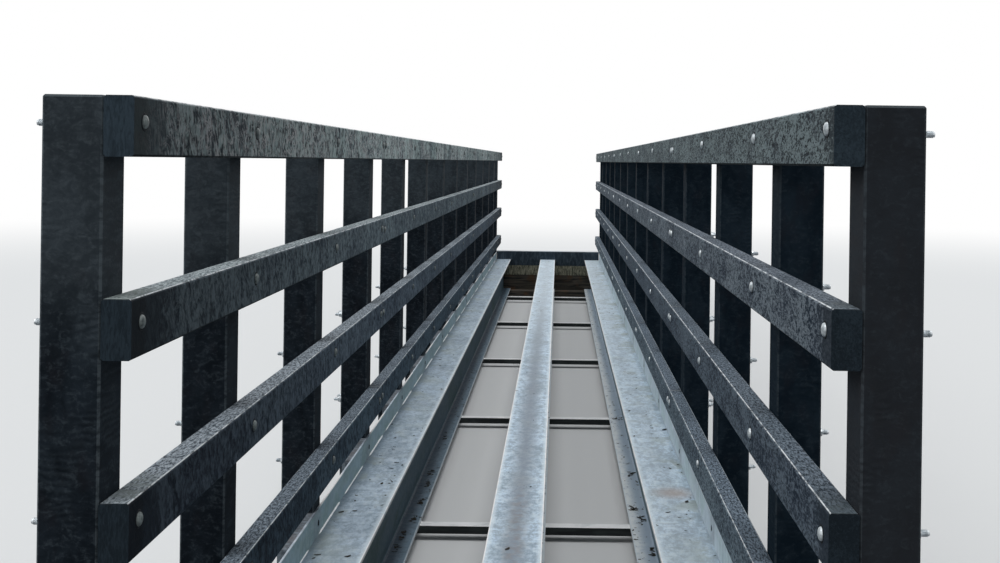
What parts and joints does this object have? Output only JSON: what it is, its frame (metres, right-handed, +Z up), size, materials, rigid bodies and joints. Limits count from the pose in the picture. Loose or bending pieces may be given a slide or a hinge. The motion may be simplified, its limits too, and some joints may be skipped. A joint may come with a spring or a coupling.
{
  "type": "plastic and steel footbridge",
  "caption": "Straight footbridge frame of steel I-beams with recycled-plastic post and rail parapets along both sides, open between the beams with no deck boards.",
  "frame": {"origin": "middle of the bridge's box, at the bottom of the bearers", "axes": "+Y along the bridge, away from the near end in the picture; +X across it, to the right in the picture; +Z up"},
  "size_m": [1.485, 12.6, 1.68],
  "materials": {
    "galvanised_steel": "weathered galvanised",
    "post_plastic": "rough moulded",
    "rail_plastic": "rough moulded",
    "board_plastic": "rough moulded",
    "timber": "weathered"
  },
  "bodies": {
    "root": {"beam_left": "galvanised_steel", "beam_centre": "galvanised_steel", "beam_right": "galvanised_steel", "edge_strip_left": "galvanised_steel", "edge_strip_right": "galvanised_steel", "post_cleats_left": "galvanised_steel", "post_cleats_right": "galvanised_steel", "packers_left": "board_plastic", "packers_right": "board_plastic", "bolt_ends_left": "galvanised_steel", "bolt_ends_right": "galvanised_steel", "cross_member_1": "galvanised_steel", "cross_member_2": "galvanised_steel", "cross_member_3": "galvanised_steel", "cross_member_4": "galvanised_steel", "cross_member_5": "galvanised_steel", "cross_member_6": "galvanised_steel", "post_pair_1": "post_plastic", "post_pair_2": "post_plastic", "post_pair_3": "post_plastic", "post_pair_4": "post_plastic", "post_pair_5": "post_plastic", "post_pair_6": "post_plastic", "post_pair_7": "post_plastic", "post_pair_8": "post_plastic", "post_pair_9": "post_plastic", "post_pair_10": "post_plastic", "post_pair_11": "post_plastic", "post_pair_12": "post_plastic", "post_pair_13": "post_plastic", "post_pair_14": "post_plastic", "handrail_left": "rail_plastic", "upper_rail_left": "rail_plastic", "lower_rail_left": "rail_plastic", "kick_rail_left": "rail_plastic", "handrail_right": "rail_plastic", "upper_rail_right": "rail_plastic", "lower_rail_right": "rail_plastic", "kick_rail_right": "rail_plastic", "end_board_near": "board_plastic", "end_board_far": "board_plastic", "sill_board_near": "timber", "sill_board_far": "timber", "bearer_near": "timber", "bearer_far": "timber"}
  },
  "joints": []
}
